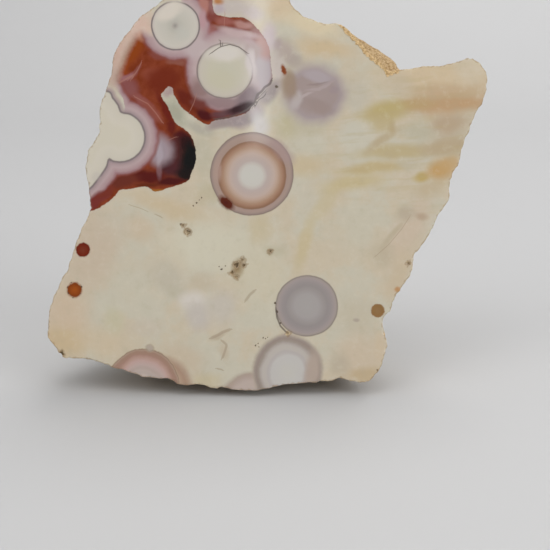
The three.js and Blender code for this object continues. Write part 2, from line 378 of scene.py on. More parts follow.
def lineDistances(flat, lines):
    # to the nearest line: signed, as a share of its half width, and plain in millimetres
    signed = np.full(len(flat), 9.0)
    plain = np.full(len(flat), 9.0)
    for halfWidth, points in lines:
        for start, end in zip(points, points[1:]):
            gap, side = nearSegment(flat, np.array(start), np.array(end))
            closer = gap < plain
            signed[closer] = (side * gap)[closer] / halfWidth
            plain = np.minimum(plain, gap)
    return signed, plain


def giveAttribute(thing, name, values):
    made = thing.data.attributes.new(name, "FLOAT", "POINT")
    made.data.foreach_set("value", values.astype(np.float32))


def hollowness(thing, rounds=8):
    # how far each place lies below its smoothed surroundings, in millimetres
    places = placesOf(thing).astype(np.float64)
    first, second = edgeEnds(thing).T
    counts = np.bincount(first, minlength=len(places)) + np.bincount(second, minlength=len(places))
    counts = np.maximum(counts, 1)
    normals = np.empty(len(places) * 3, np.float32)
    thing.data.vertices.foreach_get("normal", normals)
    smoothed = places.copy()
    for step in range(rounds):
        total = np.zeros_like(places)
        for axis in range(3):
            total[:, axis] = np.bincount(first, smoothed[second, axis], len(places))
            total[:, axis] += np.bincount(second, smoothed[first, axis], len(places))
        smoothed = total / counts[:, None]
    return ((smoothed - places) * normals.reshape(-1, 3)).sum(1) / mm


def pitCover(places):
    # 1 on the floor of a pit, fading to 0 just outside it
    cover = np.zeros(len(places))
    for across, up, radius, _ in facePits:
        cover = np.maximum(cover, 1.0 - easeBetween(pitShare(places, across, up, radius), 0.5, 1.15))
    return cover


def measureRim(stone, places, depth):
    # millimetres from the rim of the face, 5 at most
    onFace = depth < 0.01
    first, second = edgeEnds(stone).T
    turning = onFace[first] != onFace[second]
    rim = np.unique(np.where(onFace[first], first, second)[turning])
    finder = KDTree(len(rim))
    for vertex in rim:
        finder.insert(places[vertex] / mm, int(vertex))
    finder.balance()
    distance = np.minimum(depth, 5.0)
    for vertex in np.flatnonzero(onFace):
        distance[vertex] = min(finder.find(places[vertex] / mm)[2], 5.0)
    return distance


def measureMarkings(stone):
    toFace = np.array(faceFrame.inverted())
    places = placesOf(stone).astype(np.float64) @ toFace[:3, :3].T + toFace[:3, 3]
    across, depth, up = (places / mm).T
    drift = 0.10 * depth  # the colour bands lean as they go into the stone
    flat = np.stack([across + drift, up - 0.6 * drift], 1)
    giveAttribute(stone, "ironDepth", depthInside(flat, ironOutline))
    giveAttribute(stone, "bayDepth", depthInside(flat, bayOutline))
    giveAttribute(stone, "ochreDepth", np.minimum(depthInside(flat, ochreOutline), 12.0 - depth))
    giveAttribute(stone, "inPit", pitCover(places) * (depth < 1.0))
    for group in lineGroups:
        signed, plain = lineDistances(flat, group["lines"])
        giveAttribute(stone, group["name"] + "Side", np.clip(signed, -9, 9))
        giveAttribute(stone, group["name"] + "Near", plain)
    giveAttribute(stone, "scarGap", np.minimum(scarGap(places), 9.0))
    giveAttribute(stone, "hollow", hollowness(stone))
    giveAttribute(stone, "rimDistance", measureRim(stone, places, depth))


measureMarkings(stone)
print("markings measured")

# Soft patches of colour: name, across and up, width and height either way, turn in degrees, colour, and
# cover where it isn't full
groundPatches = [
    ("bright middle", -13, 33, 14, 8, -8, "c5bfac", 0.95),
    ("bright middle right", -2, 27, 8, 10, 0, "c2baa5", 0.8),
    ("bright left", -30, 25, 8, 9, 0, "beb7a5", 0.7),
    ("bright right of ringed orb", 9.5, 44, 4.5, 5, 0, "beb6a5", 0.7),
    ("cream right", 20, 36, 8, 8, 20, "beb6a3", 0.6),
    ("green by the iron", -14.3, 54.5, 3.2, 8, 0, "b7b09d", 0.9),
    ("cream under iron", -13, 45.5, 5, 3, 20, "b6aa90", 0.7),
    ("orange under iron", -22, 41.8, 10, 2.8, -18, "bfae92", 0.85),
    ("orange left of middle", -29, 36.8, 5, 3.5, -30, "bfae97", 0.8),
    ("left pink", -39.5, 32, 7, 13, -18, "bdae9b", 0.9),
    ("left edge", -45.5, 17.5, 6.5, 8, 0, "c2af98", 0.9),
    ("left low", -46, 11.5, 7, 4, -8, "bfab8c", 0.95),
    ("left low right", -38, 11.5, 7, 4, -12, "c3b39a", 0.8),
    ("yellow green left", -34.8, 16, 2.8, 4, 0, "bab398", 0.7),
    ("pale above left orb", -28, 14.5, 5, 3, 0, "bdb1a1", 0.6),
    ("low cream", -19, 8, 6, 4, -20, "bdae99", 0.8),
    ("yellow low middle", -13.8, 2.4, 4, 2.5, 0, "bcb094", 0.8),
    ("green grey", -22.6, 25.6, 5.5, 3.6, -38, "b8b09f"),
    ("green grey low", -20.3, 22.8, 3, 2.6, -20, "b5ae9c", 0.7),
    ("tan spot", -14.9, 25, 3.8, 2.6, 0, "baad98", 0.8),
    ("lilac pale", -16.9, 20.4, 4.0, 3.4, 0, "c8c1b8"),
    ("lilac", -15.7, 16.9, 3.6, 3.6, 30, "b9b1a9", 0.95),
    ("grey right of lilac", -10.4, 19.2, 4.4, 4.8, 10, "bcb4a8", 0.95),
    ("wrinkle shade", -10.8, 13.1, 2.6, 0.9, 22, "b3a692", 0.9),
    ("wrinkle low", -9.8, 9.2, 1.5, 2.8, 0, "b9ac98", 0.9),
    ("peach under ringed orb", -1.8, 37, 3.4, 4.2, 0, "bdb094", 0.8),
    ("grey by pit", 2.0, 32, 3.2, 1.8, 0, "b6ae98", 0.7),
    ("orange diagonal", 8.3, 33.5, 2.2, 8, -14, "bcad8b", 0.75),
    ("orange diagonal top", 12.8, 42.5, 2.1, 6.5, -35, "bcaf90", 0.7),
    ("right pink", 32, 37, 4.2, 11, -28, "c0b09d", 0.9),
    ("right peach", 30, 26.5, 3.4, 8, -18, "beae96", 0.9),
    ("brown spot right", 34.7, 39.8, 2.0, 1.1, 8, "b09d88", 0.95),
    ("grey diagonal", 28.3, 35.2, 5.5, 0.9, 50, "b2a68f", 0.8),
    ("cream low right", 20, 17, 6, 6, 0, "b8ae9a", 0.7),
    ("pink low right", 20.5, 7.5, 7.5, 7, 0, "c0b19c", 0.9),
    ("orange low right", 22.5, 3.9, 5, 2.4, 0, "b7a486", 0.9),
    ("peach low edge", 25.5, 10, 2, 4, 0, "c1b098", 0.8),
    ("small spot low right", 20.2, 16.2, 0.9, 0.6, 0, "a3978b", 0.9),
    ("orange left", 8.8, 51.3, 6.5, 3.4, 3, "beae91", 0.9),
    ("yellow low band", 19.5, 47.3, 9, 2.6, 10, "bcad8a", 0.95),
    ("yellow streak", 24, 50.9, 10, 1.7, 6, "b8a781", 0.95),
    ("yellow middle", 29.5, 54.5, 12, 2.0, 4, "b4a582", 0.95),
    ("pale between", 31.5, 52.2, 3.5, 1.4, 0, "b7af9a", 0.8),
    ("right brown", 41, 55.8, 8, 3.2, 6, "b09f84", 0.95),
    ("brown under band", 41, 60.6, 6.5, 3.2, 8, "af9b82", 0.9),
    ("pale under band", 33.8, 59.2, 4.8, 2.6, 0, "b4ad99", 0.95),
    ("diagonal brown", 26, 57, 5.5, 1.5, 38, "b1a286", 0.9),
    ("brown streak", 28, 60.4, 1.3, 3.0, 12, "b09f7f", 0.9),
    ("yellow green spot", 35.2, 48.8, 2.6, 1.7, 0, "b49f6a"),
    ("orange patch", 39.6, 50.1, 4.0, 3.4, 15, "b99869"),
    ("orange patch right", 41.7, 51.6, 3.0, 2.2, 30, "ba9d73", 0.8),
    ("under orange patch", 37, 45.7, 5, 2.4, 15, "b8a88d", 0.8),
    ("shoulder", 38, 71.8, 17, 5.2, 3, "c5b397"),
    ("shoulder tip", 46.3, 74, 5, 3.5, 15, "c5b8a2", 0.9),
    ("shoulder low", 41, 68.6, 12, 2.2, 4, "baa386", 0.9),
    ("tan band", 42, 65.4, 13, 3.1, 4, "b59775"),
    ("tan band left", 33.5, 65.2, 6, 2.0, 8, "b29972", 0.95),
    ("yellow part", 27, 63.8, 7, 3.0, 8, "b3a375"),
    ("yellow part low", 25.6, 61.2, 3.2, 2.6, -20, "b5a682", 0.8),
    ("shoulder pale", 29.5, 70, 5, 3.5, -20, "bdb09b", 0.8),
    ("top cream", 4, 88, 6.5, 5, 0, "c7b59a"),
    ("top pale", 10, 83.3, 8, 3.0, -18, "cdbfa3"),
    ("top peach", 13, 78.2, 8, 2.6, -8, "c2af91"),
    ("green above ringed orb", 4.6, 60.3, 4.2, 4.0, 20, "b6ad91", 0.95),
    ("green right", 9.2, 59.8, 5, 2.2, 0, "b6ae99", 0.8),
    ("grey above cloud", 4.7, 77.3, 3.0, 4.0, 30, "ada097"),
    ("grey top", 2.8, 79.3, 1.8, 1.6, 0, "aa9b98", 0.9),
    ("brown by sliver", 5.1, 69.4, 2.3, 4.8, 8, "8c7660"),
    ("blue patch", -8, 87.4, 6, 2.4, 0, "bab0a9"),
    ("blue patch right", -3.4, 86.2, 3, 2.4, 0, "baaeac", 0.9),
    ("blue patch left", -11.2, 87.2, 2, 1.6, 0, "b0a2a6", 0.9),
    ("orange spot", -11.4, 88.8, 1.6, 0.9, 0, "ac703e", 0.9),
    ("mauve under middle orb", -7.2, 61.4, 6.5, 1.8, 7, "978a8b"),
    ("mauve right under", -3.2, 63.4, 2.8, 2.4, 40, "7e7573"),
    ("pale right of middle orb", 2.4, 73, 2.4, 6, 0, "bcb0ac", 0.8),
    ("tongue low", -15.2, 60.2, 4.6, 1.6, -22, "aca698"),
    ("tongue middle", -20.6, 63.6, 2.2, 4.4, 28, "a2a08f"),
    ("tongue tip", -22.7, 68, 1.5, 1.7, 0, "a4908d"),
    ("peach top left", -29.2, 82.6, 5.5, 3.4, 38, "c9afa1"),
    ("peach left", -34.0, 76.3, 2.8, 7.5, -22, "c0a597"),
    ("peach left low", -34.8, 71.2, 2.4, 3.6, 10, "b69f92", 0.95),
    ("faint right", 26, 31, 3.5, 3.0, 0, "b3a791", 0.7),
    ("faint green right", 31, 40.2, 3.0, 2.4, 0, "b0a490", 0.8),
    ("grey right of cloud top", 6.6, 75.4, 2.4, 2.2, 0, "a89d93", 0.9),
    ("low right pale", 16.8, 6.2, 3.0, 3.0, 0, "b0a592", 0.7),
    ("lilac top", 0.4, 80.6, 2.4, 4.2, 0, "bfb1b4", 0.9),
    ("lilac by the crack", 0.1, 67.7, 4.4, 2.0, 46, "968b8a", 0.95),
    ("grey under the arm end", -10.9, 60.8, 3.4, 1.4, 8, "998b88", 0.9),
    ("lilac by the crack low", -2.6, 63.6, 2.6, 1.8, 30, "a99d9c", 0.9),
    ("pale under streak", -1.6, 61.0, 2.4, 3.2, 0, "bdb8b6", 0.9),
    ("pale right middle", 20, 58.5, 5, 4, 0, "bfbaab", 0.8),
    ("pale right low", 33, 52, 3.6, 1.8, 0, "bbb3a2", 0.8),
    ("cream right high", 20, 67.6, 4.5, 5, 0, "b9b2a3", 0.8),
    ("grey rim top left", -35.2, 79.6, 2.0, 3.0, -38, "c2b5ad", 0.8),
]
ironPatches = [
    ("orange tip", -30.6, 77.4, 2.6, 5.6, -28, "88431f"),
    ("orange low", -32.4, 73.8, 1.8, 2.6, -12, "8c4527", 0.95),
    ("tip fade", -28.4, 80.7, 2.2, 1.7, 0, "b0806a"),
    ("left fade", -33.2, 70.8, 1.2, 2.6, -10, "9c6a5f", 0.9),
    ("mauve zone", -32.0, 68.9, 3.4, 3.6, 0, "845250", 0.95),
    ("mauve diagonal", -31.6, 71.6, 2.8, 0.9, 30, "946768", 0.9),
    ("mauve low", -28.8, 66.2, 3.4, 1.5, -35, "8a5450", 0.9),
    ("mauve stalk", -29.4, 73.1, 0.7, 2.2, -25, "88524c", 0.7),
    ("mauve patch", -26.3, 72.4, 2.6, 2.2, 0, "8a4a3a", 0.85),
    ("under upper orb", -24.6, 76.6, 3.4, 1.4, -18, "7f4840", 0.9),
    ("under upper orb right", -20.3, 74.9, 3.6, 1.3, 0, "88564a", 0.9),
    ("centre", -23.5, 70.6, 5.5, 4.5, 0, "6e301f", 0.9),
    ("neck orange", -23.4, 64.5, 1.6, 5.0, 24, "652910", 0.9),
    ("neck maroon", -26.3, 63.6, 1.5, 4.6, 42, "8a5046", 0.95),
    ("neck low", -21.8, 60.4, 1.8, 2.4, 20, "5f2816", 0.9),
    ("arm", -18.2, 66.8, 2.4, 3.4, 40, "642b19", 0.9),
    ("lobe top", -19.2, 58.1, 2.6, 2.0, -30, "4e2119"),
    ("purple", -21.4, 51.6, 4.6, 4.6, 0, "4e2e30"),
    ("purple top", -20.6, 55.6, 2.8, 4.2, 0, "54302f"),
    ("black top", -18.4, 56.8, 2.4, 2.8, 0, "3a1c15"),
    ("black", -17.4, 52.8, 3.6, 6.2, 0, "1d1513"),
    ("black low", -18.6, 49.4, 3.2, 2.4, 20, "261819", 0.95),
    ("low band", -27.2, 48.9, 6.5, 2.2, -4, "57261f"),
    ("low band left", -33, 47.8, 5.5, 2.2, 12, "68352c"),
    ("low dark", -22.0, 47.4, 4.4, 1.3, 6, "4a1c19", 0.95),
    ("low rim", -27.5, 46.8, 4.0, 0.8, 0, "5f3018", 0.9),
    ("orange edge", -25.1, 45.5, 2.4, 0.6, 2, "94602f", 0.95),
    ("tail", -38.2, 44.3, 4.0, 1.8, 38, "71383a"),
    ("tail tip", -39.6, 42.6, 2.0, 1.4, 30, "6a3029", 0.9),
    ("under tongue", -24.3, 50.6, 1.0, 3.4, 0, "806468", 0.6),
    ("tongue", -24.6, 55.0, 4.6, 4.8, 0, "998a8f"),
    # painted highlight: a narrow pale streak on the lavender tongue, where the polish mirrors a light
    ("tongue painted glint", -24.6, 54.4, 1.2, 3.4, 0, "a89ca2", 0.7),
    ("right arm", -16.4, 64.8, 3.6, 2.2, -38, "6a3023", 0.9),
    ("right arm low", -14.2, 62.6, 3.0, 1.5, -30, "4e201c"),
    ("arm end", -11.2, 62.6, 2.4, 1.5, 0, "643a3b", 0.95),
]
haloPatches = [
    ("pale between orbs", -16.2, 78.4, 4.0, 4.6, 42, "b6a6a5"),
    ("dark under middle orb", -9.8, 65.7, 8.5, 1.9, 0, "8b7475", 0.85),
    ("dark right under", -4.4, 67.2, 4.4, 3.4, 45, "827275"),
    ("maroon gradient", -7.6, 63.6, 6.5, 1.5, 10, "64484b", 0.95),
    ("maroon gradient right", -5.8, 64.5, 4.6, 1.6, 22, "392629"),
    ("grey end", -2.3, 67.2, 1.5, 2.4, -35, "7d6e70", 0.9),
    ("right halo", -0.8, 73.0, 3.2, 6.4, 0, "aaa0a2", 0.95),
    ("arc left", -12.5, 85.1, 2.4, 1.9, 0, "7e4640"),
    ("arc middle", -9.6, 84.0, 3.0, 1.3, 0, "945c54"),
    ("arc right", -5.8, 83.6, 2.6, 1.4, -10, "a67a72"),
    ("arc end", -2.1, 81.3, 3.6, 2.2, -50, "8c605a"),
    ("arc fade", -0.8, 78.2, 2.0, 4.2, 15, "ae8c86"),
    ("under arc", -6.5, 81.6, 6.5, 1.2, -12, "b8a2a0", 0.9),
    ("up band", -14.6, 88.0, 1.5, 3.4, 12, "a8766c"),
    ("up band right", -12.5, 87.3, 1.8, 2.6, 12, "8e6562"),
    ("beside upper orb", -14.7, 84.4, 1.2, 3.0, 10, "b08e91", 0.95),
    ("lower left dark", -15.2, 65.3, 2.8, 1.9, -40, "6e3c36", 0.95),
    ("lower halo left", -14.8, 69.0, 3.0, 3.8, 25, "8a716e", 0.9),
    ("arc inner", -12.4, 82.3, 1.5, 1.3, 0, "a07270", 0.5),
    ("upper right of middle orb", -3.0, 77.2, 3.0, 3.0, 0, "a5938f", 0.95),
    ("tail red", -39.3, 43.2, 4.0, 1.9, 40, "743732"),
    ("tail red high", -36.8, 45.3, 3.4, 1.3, 36, "74372d", 0.9),
]
# Patches inside the orbs, painted over their rings
innerPatches = [
    ("upper left orb light", -22.2, 86.6, 4.2, 2.6, 30, "cdc4b8", 0.9),
    ("upper left orb mottle", -19.6, 81.6, 2.4, 2.2, 0, "b8b5ac", 0.6),
    ("middle orb light", -9.6, 77.0, 6.2, 2.9, 4, "cac3ba"),
    ("middle orb faint edge", -3.6, 74.8, 1.5, 4.5, 0, "c6bcba", 0.75),
    ("middle orb yellow", -10.6, 71.0, 4.6, 3.4, 0, "bbb5a0", 0.8),
    ("bay low shade", -39.0, 49.0, 1.6, 1.4, 40, "b3aaa4", 0.4),
    ("ringed orb mauve side", 3.0, 54.6, 2.6, 5.5, 45, "a28b88", 0.6),
    ("ringed orb pale left", -11.2, 50.4, 1.4, 3.6, 0, "a99186", 0.7),
    ("low half orb warm side", 10.3, 4.6, 2.8, 6.0, 0, "ab9c90"),
]
# Clouds with a clearer edge, painted as the orbs are
clouds = {
    "lavender cloud": {"at": (10.8, 67.8), "wide": 1.05, "rings": [
        (0.0, "9e8f8b"), (4.4, "9c8d89"), (5.6, "9e9191", 0.95), (6.8, "a89d99", 0.6), (8.4, "b0a69a", 0),
    ]},
}
cloudPatches = [
    ("cloud top", 11.4, 72.0, 4.6, 1.9, -8, "a79c9e", 0.95),
    ("cloud dark", 11.5, 64.6, 5.0, 2.2, -14, "978782", 0.85),
    ("cloud dark right", 15.2, 68.9, 1.8, 1.4, 15, "98898a", 0.8),
    ("cloud left", 6.6, 65.8, 1.6, 3.0, -20, "b2a8a5", 0.85),
    ("cloud streak", 12.0, 69.5, 4.8, 0.55, 24, "a89a98", 0.8),
    ("cloud streak low", 8.6, 66.9, 3.0, 0.45, 34, "ada09d", 0.85),
    ("brown by the cloud", 4.9, 69.5, 2.4, 5.0, 8, "958069", 0.7),
    ("cloud vein", 11.6, 70.4, 3.6, 0.35, 20, "8c7c78", 0.6),
]
# Orbs: rings as (millimetres from the middle, colour, and cover where it isn't full)
orbs = {
    "upper left orb": {"at": (-20.85, 83.15), "rings": [
        (0.0, "918c85"), (0.35, "a09a92"), (0.9, "b0aba1"), (2.2, "b9b4a9"), (4.7, "c0bab0"),
        (5.15, "bdb3ab"), (5.36, "7a7170"), (5.52, "7c7271"), (5.75, "9a8786", 0),
    ]},
    "middle orb": {"at": (-9.65, 72.85), "rings": [
        (0.0, "bab6a5"), (3.5, "bcb6a4"), (5.6, "bcb4a7"), (6.0, "b2a99f"), (6.2, "877975"),
        (6.36, "897b78"), (6.6, "9a8887", 0),
    ]},
    "ringed orb shell": {"at": (-3.47, 49.45), "rings": [
        (0.0, "9b867b"), (7.9, "9f8a7f"), (8.7, "a08c82"), (9.15, "93827a"), (9.38, "82726a"),
        (9.6, "a09488", 0),
    ]},
    "ringed orb": {"at": (-3.47, 49.1), "rings": [
        (0.0, "bfbcb3"), (2.3, "bfbbb3"), (2.9, "bab1a9"), (3.5, "b1a39d"), (4.2, "b2a29a"),
        (5.0, "b6a398"), (5.7, "b39b8b"), (6.4, "a58873"), (7.1, "987662"), (7.5, "8a6a56"),
        (7.7, "8c6e5c"), (7.9, "9b867b", 0),
    ]},
    "grey orb": {"at": (9.0, 19.45), "wide": 1.03, "rings": [
        (0.0, "a09b98"), (2.6, "9f9996"), (3.6, "98918e"), (4.6, "908987"), (5.3, "938b89"),
        (6.2, "9c918e"), (6.55, "9c918a"), (6.8, "887e76"), (6.9, "958b80", 0.9), (7.1, "aea292", 0),
    ]},
}
# Orbs with a softer outline
mellowOrbs = {
    "low left lobe": {"at": (-3.6, -3.0), "rings": [
        (0.0, "b6a79e"), (5.2, "b3a49b"), (6.2, "aa9a90"), (6.9, "a39387", 0.9), (7.3, "a99b8e", 0.6),
        (7.9, "b0a392", 0),
    ]},
    "low half orb": {"at": (4.6, 4.2), "wide": 0.9, "rings": [
        (0.0, "bab6ae"), (4.0, "b8b4b0"), (4.6, "b1aaa6"), (5.0, "aea7a3"), (5.5, "b3aba4"),
        (6.3, "b2aaa2"), (6.8, "a89f98"), (7.3, "998e85"), (7.9, "93867d"), (8.4, "9b8f86"),
        (8.9, "a89c8f", 0.6), (9.4, "b2a696", 0),
    ]},
    "low tan orb": {"at": (-24.6, 0.4), "rings": [
        (0.0, "ac9c92"), (4.8, "b29d8b"), (5.8, "a78e7b"), (6.5, "a28875"), (7.2, "a8917e", 0.9),
        (7.8, "b09b87", 0.6), (8.6, "b8a990", 0),
    ]},
    "low left orb": {"at": (-28.2, 1.2), "rings": [
        (0.0, "bbaca2"), (2.4, "baaba1"), (3.1, "ada098"), (3.6, "b0a199"), (4.2, "ab9b93"),
        (4.9, "b39f98"), (5.7, "b59a92"), (6.4, "ac8e82"), (7.1, "9c7e70"), (7.7, "997d6e"),
        (8.15, "a18b7a"), (8.32, "8f7968"), (8.6, "b5a68c", 0),
    ]},
}
dots = {
    "red dot": {"at": (-41.9, 32.2), "rings": [
        (0.0, "743a2c"), (1.0, "70301f"), (1.5, "6a2c1c"), (1.8, "a07c66", 0),
    ]},
    "orange dot": {"at": (-43.8, 23.1), "rings": [
        (0.0, "9a5224"), (0.9, "8c4820"), (1.5, "7a4020"), (2.0, "a8825e", 0),
    ]},
    "tan dot": {"at": (25.1, 18.4), "rings": [
        (0.0, "8c6e4c"), (1.2, "8a6a46"), (1.45, "8c6c4c"), (1.7, "b09c80", 0),
    ]},
    "small dot": {"at": (29.6, 23.2), "rings": [
        (0.0, "b0855e"), (0.5, "b48f69", 0.9), (1.0, "b8a488", 0),
    ]},
    "grey bump": {"at": (-26.7, 9.9), "wide": 1.1, "rings": [
        (0.0, "ab9f92"), (0.5, "a79b8e", 0.9), (0.8, "9c8e80", 0.6), (1.15, "b0a288", 0),
    ]},
    "dark spot on ring": {"at": (-9.3, 42.9), "wide": 1.8, "turn": -40, "rings": [
        (0.0, "522820"), (0.8, "5c3026"), (1.5, "8a6656", 0),
    ]},
    "red sliver": {"at": (3.75, 73.1), "wide": 0.45, "turn": 18, "rings": [
        (0.0, "7a3c22"), (0.9, "864e34"), (1.7, "a89684", 0),
    ]},
    "pit stain": {"at": (-6.7, 28.0), "wide": 0.65, "turn": -10, "rings": [
        (0.0, "8a785c"), (0.9, "998769", 0.9), (1.9, "a3947a", 0.7), (2.9, "b4a88e", 0),
    ]},
    "double pit stain": {"at": (-18.3, 36.5), "wide": 0.8, "turn": -35, "rings": [
        (0.0, "80694c"), (0.7, "978266", 0.8), (1.2, "b4a88e", 0),
    ]},
    "small grey pit": {"at": (0.7, 31.8), "rings": [
        (0.0, "807258"), (0.5, "9c9078", 0.8), (1.0, "b4a88e", 0),
    ]},
}
# Dark specks: across, up, and radius
specks = [
    (-10.4, 27.8, 0.24), (-9.5, 28.6, 0.17), (-10.9, 28.4, 0.13), (-19.5, 38.0, 0.3), (1.8, 20.1, 0.24),
    (2.2, 18.2, 0.28), (3.0, 15.6, 0.2), (4.6, 13.3, 0.34), (-2.6, 10.5, 0.18), (-2.1, 11.0, 0.14),
    (-1.9, 10.2, 0.12), (-0.9, 12.2, 0.16), (-0.4, 12.0, 0.14), (0.1, 12.3, 0.13), (32.1, 29.1, 0.3),
    (-46.7, 8.6, 0.42), (2.1, 69.3, 0.34), (-16.0, 42.9, 0.2), (-16.8, 42.2, 0.16), (-15.4, 43.6, 0.14),
    (-14.9, 44.1, 0.16), (25.0, 4.9, 0.2), (-45.3, 23.7, 0.18), (-45.2, 22.4, 0.16), (-42.3, 23.8, 0.2),
    (-44.1, 21.3, 0.15), (-44.5, 24.8, 0.14), (-42.4, 22.2, 0.15),
]
finish = {
    "cream": "beb8a7",  # ground colour of the stone
    "creamWarm": "c0b49f",
    "iron": "74361f",
    "ironLight": "84422e",
    "veil": 0.014,  # light that the polish mirrors, taken off the colours above, which are as seen
    "polishRoughness": 0.07,
    "brokenRoughness": 0.72,
    "rindRoughness": 0.88,
    "gritHeight": 0.25 * mm,
    "sandPaintedShade": (0.74, 0.72, 0.70, 1.0),  # painted shade on the sandy strip behind the face, which the light strikes more
}
glow = {
    "IOR": 1.54,
    "Subsurface Weight": 0.12,
    "Subsurface Radius": (1.2 * mm, 0.9 * mm, 0.6 * mm),
    "Subsurface Scale": 1.0,
}

jasper = bpy.data.materials.new("polishedOceanJasper")
jasper.use_nodes = True
tree = jasper.node_tree
shader = tree.nodes["Principled BSDF"]


def feed(socket, value):
    if isinstance(value, bpy.types.NodeSocket):
        tree.links.new(value, socket)
    else:
        socket.default_value = value


def addNode(kind, inputs, **settings):
    node = tree.nodes.new("ShaderNode" + kind)
    for name, value in settings.items():
        setattr(node, name, value)
    for socket, value in inputs.items():
        feed(node.inputs[socket], value)
    return node


def maths(operation, first, second=0.0, third=0.0):
    return addNode("Math", {0: first, 1: second, 2: third}, operation=operation).outputs[0]


def vectorMaths(operation, first, second=(0, 0, 0), third=(0, 0, 0)):
    return addNode("VectorMath", {0: first, 1: second, 2: third}, operation=operation).outputs[0]


def placed(place, at=(0, 0, 0), turn=0.0, reach=(1, 1, 1), label=""):
    # coordinates about a spot on the face, turned, with the reach as the unit
    sockets = {"Vector": place, "Location": at, "Rotation": (0, -math.radians(turn), 0), "Scale": reach}
    return addNode("Mapping", sockets, vector_type="TEXTURE", label=label).outputs[0]


def nearness(place):
    # 1 at the middle of the coordinates, falling evenly to 0 at a distance of 1
    return addNode("TexGradient", {"Vector": place}, gradient_type="SPHERICAL").outputs["Fac"]


def stepBetween(value, low, high, start=0.0, end=1.0):
    sockets = {"Value": value, "From Min": low, "From Max": high, "To Min": start, "To Max": end}
    return addNode("MapRange", sockets, interpolation_type="SMOOTHSTEP").outputs["Result"]


def blend(share, below, above, mode="MIX"):
    return addNode("Mix", {0: share, 6: below, 7: above}, data_type="RGBA", blend_type=mode).outputs[2]


def paint(hexColour, cover=1.0):
    channels = [int(hexColour[i : i + 2], 16) / 255 for i in (0, 2, 4)]
    light = [c / 12.92 if c < 0.04045 else ((c + 0.055) / 1.055) ** 2.4 for c in channels]
    return tuple(max(c - finish["veil"], 0.003) for c in light) + (cover,)


def tinge(colour, tint, value, low, high, most=1.0):
    # lays a tint over the colour so far, growing as the value goes from low to high
    return blend(stepBetween(value, low, high, 0.0, most), colour, paint(tint))


def noise(place, size, detail=2.0, roughness=0.5, output="Fac"):
    # cloudy noise, with the size of its clouds in the units of the place
    sockets = {"Vector": place, "Scale": 1.0 / size, "Detail": detail, "Roughness": roughness}
    return addNode("TexNoise", sockets).outputs[output]


def swing(value, reach):
    # a value from 0 to 1 as one on either side of 0
    return maths("MULTIPLY", maths("SUBTRACT", value, 0.5), reach)


def wandered(place, size, amount, detail=1.0):
    cloudy = vectorMaths("SUBTRACT", noise(place, size, detail, output="Color"), (0.5, 0.5, 0.5))
    return vectorMaths("MULTIPLY_ADD", cloudy, (amount, amount, amount), place)


def attribute(name):
    return addNode("Attribute", {}, attribute_name=name).outputs["Fac"]


def paintRamp(colour, value, stops):
    # lays a row of colours over the colour so far, by a value from 0 to 1
    ramp = addNode("ValToRGB", {"Fac": value})
    scale = ramp.color_ramp.elements
    for number, (position, tint, *cover) in enumerate(stops):
        stop = scale[number] if number < 2 else scale.new(position)
        stop.position = position
        stop.color = paint(tint, *cover)
    return blend(ramp.outputs["Alpha"], colour, ramp.outputs["Color"])


def inTurn(colour, place):
    # the same place, tied to the colour so far, so that the renderer works through the paint group by group
    return vectorMaths("MULTIPLY_ADD", colour, (1e-6, 1e-6, 1e-6), place)


patchSetting = {
    "perGroup": 25,  # patches that the renderer works through together
    "depth": 0.7,  # reach into the stone, as a share of width and height together
    "core": 0.65,  # nearness to the middle at which the cover is full
}


def paintPatches(colour, patches, place, spread=1.0):
    for number, (name, across, up, wide, high, turn, tint, *cover) in enumerate(patches):
        if number % patchSetting["perGroup"] == 0:
            place = inTurn(colour, place)
        reach = (wide * spread, patchSetting["depth"] * (wide + high), high * spread)
        near = nearness(placed(place, (across, 0, up), turn, reach, name))
        colour = tinge(colour, tint, near, 0.0, patchSetting["core"] * spread, *cover)
    return colour


def paintOrbs(colour, group, place):
    for name, orb in group.items():
        across, up = orb["at"]
        reach = orb["rings"][-1][0]
        sizes = (reach * orb.get("wide", 1.0), reach, reach)
        near = nearness(placed(place, (across, 0, up), orb.get("turn", 0), sizes, name))
        colour = paintRamp(colour, near, [(1.0 - away / reach, *look) for away, *look in orb["rings"][::-1]])
    return colour


def beyondOrb(place, across, up, radius, limit=12.0):
    # millimetres outside a ball in the stone, no further than the limit from its middle
    spot = placed(place, (across, 0, up), 0, (limit, limit, limit))
    return maths("MULTIPLY_ADD", nearness(spot), -limit, limit - radius)


def edgeShare(inside, softness):
    # 1 inside an edge and 0 outside it, over the softness either way
    return stepBetween(inside, maths("MULTIPLY", softness, -1.0), softness)


def groundColour(facePlace):
    mottle = noise(facePlace, 12.0, 5.0, 0.6)
    ground = tinge(paint(finish["cream"]), finish["creamWarm"], mottle, 0.42, 0.58)
    ground = paintPatches(ground, groundPatches, wandered(wandered(facePlace, 9.0, 2.8), 2.6, 0.6), 1.2)
    # faint layers in the right half, and a finer mottle everywhere
    layers = noise(placed(facePlace, (0, 0, 0), 5, (11, 6, 1.7)), 1.0, 4.0, 0.55)
    rightHalf = stepBetween(nearness(placed(facePlace, (34, 0, 58), 5, (30, 20, 22))), 0.0, 0.5, 0.0, 0.28)
    ground = blend(maths("MULTIPLY", rightHalf, stepBetween(layers, 0.48, 0.64)), ground, paint("b0a07c"))
    fine = noise(facePlace, 2.6, 5.0, 0.65)
    ground = tinge(ground, "a99e88", fine, 0.5, 0.72, 0.22)
    return tinge(ground, "cdc7b6", fine, 0.5, 0.3, 0.22)


